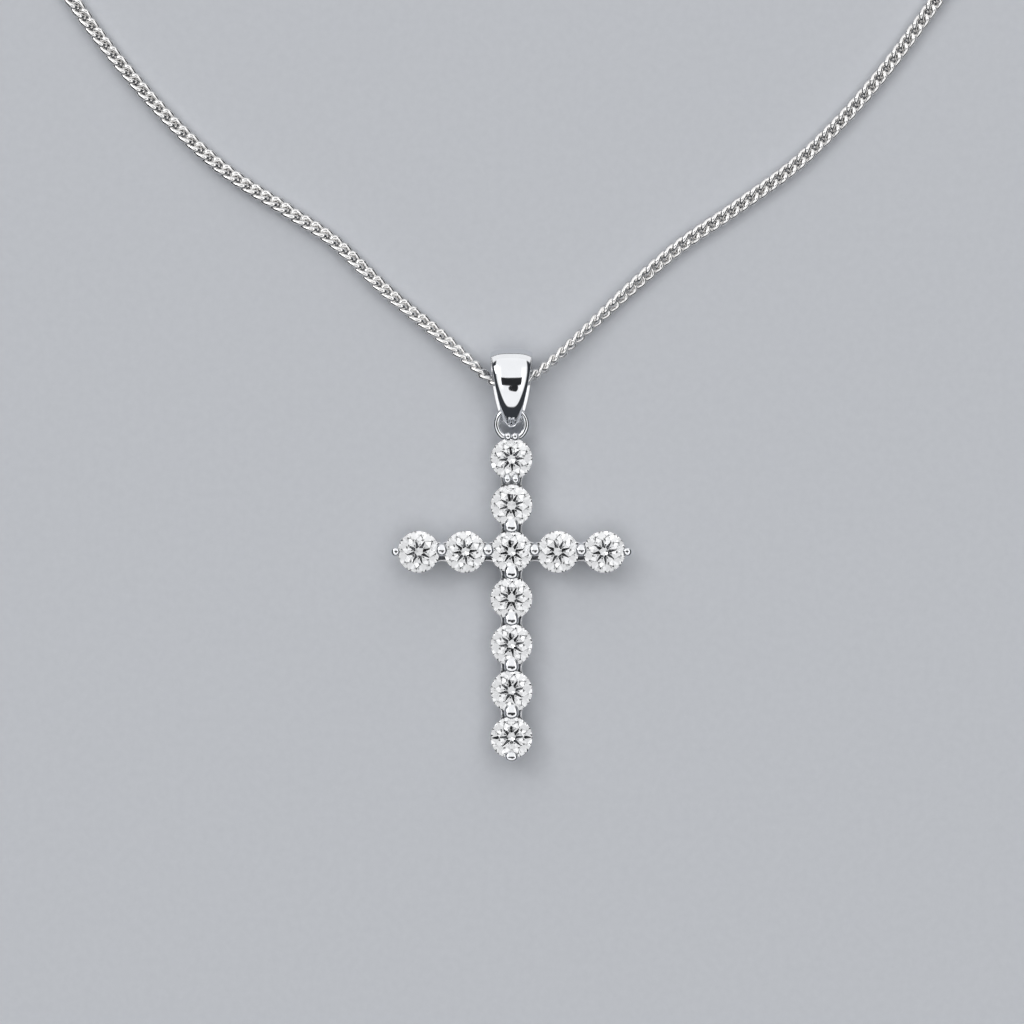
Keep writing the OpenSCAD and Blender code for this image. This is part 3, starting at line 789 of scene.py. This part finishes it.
def curb_link():
    """One curb link along X: a spun ring, drawn out, twisted and ground flat on both faces."""
    bm = ring_of(wire_rim(LINK_WIRE_R, LINK_WIRE_SIDES), 1.0, (0, 0, 0), LINK_SIDES)
    for vert in bm.verts:
        angle = math.atan2(vert.co.y, vert.co.x)
        off = math.hypot(vert.co.x, vert.co.y) - 1.0
        x = LINK_HALF_LEN * math.cos(angle)
        y = LINK_HALF_W * math.sin(angle)
        way = Vector((LINK_HALF_W * math.cos(angle), LINK_HALF_LEN * math.sin(angle))).normalized()
        height = LINK_TWIST * math.sin(2 * angle) + vert.co.z
        vert.co = (x + off * way.x, y + off * way.y, max(-LINK_FACE, min(LINK_FACE, height)))
    return to_mesh(bm, "curb_link")


def end_ring(side):
    """The small oval ring that joins the chain to the clasp's eyelet."""
    wire = wire_rim(END_RING_WIRE_R, END_RING_WIRE_SIDES)
    bm = ring_of(wire, 1.0, (0, 0, 0), END_RING_STEPS)
    for vert in bm.verts:
        angle = math.atan2(vert.co.y, vert.co.x)
        off = math.hypot(vert.co.x, vert.co.y) - 1.0
        way = Vector((END_RING_HALF_H * math.cos(angle),
                      END_RING_HALF_LEN * math.sin(angle))).normalized()
        vert.co = (END_RING_HALF_LEN * math.cos(angle) + off * way.x, vert.co.z,
                   END_RING_HALF_H * math.sin(angle) + off * way.y)
    at = (side * (EYELET_X + EYELET_R + END_RING_OUT), CLASP_Y, CLASP_WIRE_R)
    bmesh.ops.translate(bm, vec=at, verts=bm.verts)
    bmesh.ops.recalc_face_normals(bm, faces=bm.faces)
    return bm


def chain_pieces(metal):
    """The curb chain as its two halves, left and right of the bail."""
    link = curb_link()
    places = link_places()
    middle = len(places) // 2
    halves = [("chain_left", places[:middle], -1), ("chain_right", places[middle:], 1)]
    for name, stretch, side in halves:
        bm = end_ring(side)
        for place in stretch:
            made = len(bm.verts)
            bm.from_mesh(link)
            bm.verts.ensure_lookup_table()
            bmesh.ops.transform(bm, matrix=place, verts=bm.verts[made:])
            sunk = min(0.0, min(vert.co.z for vert in bm.verts[made:]))
            bmesh.ops.translate(bm, vec=(0, 0, -sunk), verts=bm.verts[made:])
        bmesh.ops.recalc_face_normals(bm, faces=bm.faces)
        finish_piece(name, bm, [metal], "chain", smooth_angle=80)
    bpy.data.meshes.remove(link)


def clasp_piece(metal):
    """The clasp: a tube ring, a thumb catch and an eyelet at each side."""
    parts = [ring_of(wire_rim(CLASP_WIRE_R, WIRE_SIDES), CLASP_R, (0, 0, 0))]
    for side in (-1, 1):
        wire = wire_rim(EYELET_WIRE_R, EYELET_WIRE_SIDES)
        parts.append(ring_of(wire, EYELET_R, (side * EYELET_X, 0, 0)))
    angle = math.radians(90 + CATCH_ANGLE)
    place = facing((0, 0, 0), (math.cos(angle), math.sin(angle), 0))
    turns = [2 * math.pi * step / CATCH_SIDES for step in range(CATCH_SIDES)]
    outlines = []
    for out, size in CATCH_PROFILE:
        rim = [Vector((math.cos(turn) * size * CATCH_R, math.sin(turn) * size * CATCH_R,
                       CLASP_R + out)) for turn in turns]
        outlines.append([place @ point for point in rim])
    parts.append(drawn_through(outlines))
    bm = soldered("clasp_ring", parts)
    bmesh.ops.translate(bm, vec=(CLASP_X, CLASP_Y, CLASP_WIRE_R), verts=bm.verts)
    finish_piece("clasp_ring", bm, [metal], "clasp", smooth_angle=40)


def aimed(name, bm, material, ways, distance):
    """Stands a light or a card over the pendant, turned from straight above by two angles."""
    thing = bpy.data.objects.new(name, to_mesh(bm, name))
    thing.data.materials.append(material)
    turn = (Matrix.Rotation(math.radians(-ways[1]), 4, "X")
            @ Matrix.Rotation(math.radians(ways[0]), 4, "Y"))
    over = Matrix.Translation((0, CROSS_Y * MM, 0))
    thing.matrix_world = over @ turn @ Matrix.Translation((0, 0, distance))
    thing.visible_camera = False
    bpy.context.collection.objects.link(thing)
    return thing


def box_share(tree, place):
    """How far out a point of a light lies: its distance to the box's sides."""
    sides = node_of(tree, "ShaderNodeVectorMath", operation="ABSOLUTE")
    apart = node_of(tree, "ShaderNodeSeparateXYZ")
    farther = node_of(tree, "ShaderNodeMath", operation="MAXIMUM")
    tree.links.new(place, sides.inputs[0])
    tree.links.new(sides.outputs["Vector"], apart.inputs["Vector"])
    tree.links.new(apart.outputs["X"], farther.inputs[0])
    tree.links.new(apart.outputs["Y"], farther.inputs[1])
    return farther.outputs["Value"]


def arch_share(tree, place):
    """The same for a light that is round below its middle and square above it."""
    past_every_side = 9
    lower = node_of(tree, "ShaderNodeVectorMath", operation="MINIMUM")
    lower.inputs[1].default_value = (past_every_side, 0, 0)
    round_part = node_of(tree, "ShaderNodeVectorMath", operation="LENGTH")
    apart = node_of(tree, "ShaderNodeSeparateXYZ")
    farther = node_of(tree, "ShaderNodeMath", operation="MAXIMUM")
    tree.links.new(place, lower.inputs[0])
    tree.links.new(lower.outputs["Vector"], round_part.inputs[0])
    tree.links.new(place, apart.inputs["Vector"])
    tree.links.new(round_part.outputs["Value"], farther.inputs[0])
    tree.links.new(apart.outputs["Y"], farther.inputs[1])
    return farther.outputs["Value"]


def soft_light(share, name, ways, distance, wide, high, glow, fade):
    """A card that glows evenly in the middle and fades out towards its edge."""
    bm = bmesh.new()
    bmesh.ops.create_grid(bm, x_segments=1, y_segments=1, size=0.5)
    bmesh.ops.scale(bm, vec=(wide, high, 1), verts=bm.verts)
    material, tree, surface = new_material(name)
    tree.nodes.remove(surface)
    place = node_of(tree, "ShaderNodeTexCoord")
    scaled = node_of(tree, "ShaderNodeMapping", [("Scale", (2 / wide, 2 / high, 0))])
    falling = node_of(tree, "ShaderNodeMapRange", [
        ("From Min", 1 - fade), ("From Max", 1.0), ("To Min", glow), ("To Max", 0.0)],
        interpolation_type="SMOOTHSTEP")
    shine = node_of(tree, "ShaderNodeEmission")
    clear = node_of(tree, "ShaderNodeBsdfTransparent")
    both = node_of(tree, "ShaderNodeAddShader")
    tree.links.new(place.outputs["Object"], scaled.inputs["Vector"])
    tree.links.new(share(tree, scaled.outputs["Vector"]), falling.inputs["Value"])
    tree.links.new(falling.outputs["Result"], shine.inputs["Strength"])
    tree.links.new(shine.outputs["Emission"], both.inputs[0])
    tree.links.new(clear.outputs["BSDF"], both.inputs[1])
    tree.links.new(both.outputs["Shader"], tree.nodes["Material Output"].inputs["Surface"])
    aimed(name, bm, material, ways, distance)


def dark_card(name, ways, distance, wide, high, sides, hole):
    """A dark card for the dark marks in the polish, or a ring for the dark star in the stones."""
    bm = bmesh.new()
    corner_r = math.sqrt(0.5)
    rim = bmesh.ops.create_circle(bm, cap_ends=not hole, segments=sides,
                                  radius=corner_r)["verts"]
    if hole:
        bmesh.ops.scale(bm, vec=(hole, hole, 1), verts=grown(bm, rim))
    if sides == 4:
        bmesh.ops.rotate(bm, matrix=Matrix.Rotation(math.pi / 4, 3, "Z"), verts=bm.verts)
    bmesh.ops.scale(bm, vec=(wide, high, 1), verts=bm.verts)
    material, _, surface = new_material(name)
    surface.inputs["Base Color"].default_value = CARD_BLACK
    card = aimed(name, bm, material, ways, distance)
    card.visible_transmission = bool(hole)
    card.visible_glossy = not hole
    card.visible_diffuse = not hole
    card.visible_shadow = not hole


def studio():
    """Floor, soft lights, dark cards and a dim room."""
    bm = bmesh.new()
    bmesh.ops.create_grid(bm, x_segments=1, y_segments=1, size=FLOOR_HALF)
    bmesh.ops.translate(bm, vec=(0, 0, -FLOOR_DROP), verts=bm.verts)
    floor = bpy.data.objects.new("floor", to_mesh(bm, "floor"))
    floor.data.materials.append(pale_card("pale_card"))
    bpy.context.collection.objects.link(floor)
    world = bpy.data.worlds.new("room")
    world.use_nodes = True
    glow = world.node_tree.nodes["Background"]
    glow.inputs["Color"].default_value = ROOM_COLOUR
    glow.inputs["Strength"].default_value = ROOM_GLOW
    bpy.context.scene.world = world
    bpy.context.scene.view_settings.view_transform = "Standard"
    for box in SOFT_BOXES:
        soft_light(box_share, *box)
    soft_light(arch_share, *UMBRELLA)
    for card in DARK_CARDS:
        dark_card(*card)


def camera():
    """The camera straight above the pendant, as the photograph was taken."""
    view = bpy.data.cameras.new("camera")
    view.sensor_width = SENSOR_W
    view.lens = SENSOR_W * CAMERA_HEIGHT / VIEW_W
    view.clip_start = CLIP_START
    eye = bpy.data.objects.new("camera", view)
    eye.location = (VIEW_MIDDLE[0] * MM, (CROSS_Y + VIEW_MIDDLE[1]) * MM, CAMERA_HEIGHT * MM)
    bpy.context.collection.objects.link(eye)
    bpy.context.scene.camera = eye


camera()
studio()
mirror_polish = polished_white_metal("mirror_polish", WHITE_METAL, smooth=0.03, worn=0.09,
                                     scratch=0.2)
cast_polish = polished_white_metal("cast_polish", WHITE_METAL, smooth=0.05, worn=0.14,
                                   scratch=0.25)
chain_polish = polished_white_metal("chain_polish", LINK_METAL, smooth=0.12, worn=0.26,
                                    scratch=0.2)
# Dark grey metal for the bridge floors: painted shade in the recesses between the stones
painted_shade_grey = polished_white_metal("painted_shade_grey", PAINTED_SHADE_METAL, smooth=0.3, worn=0.5, scratch=0.3)
brilliant = clear_cut_stone("brilliant")
for name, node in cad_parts.items():
    if name.startswith("stone_"):
        node.data.materials.clear()
        node.data.materials.append(brilliant)
bail_piece(mirror_polish)
cross_setting(cast_polish, painted_shade_grey)
chain_pieces(chain_polish)
clasp_piece(mirror_polish)
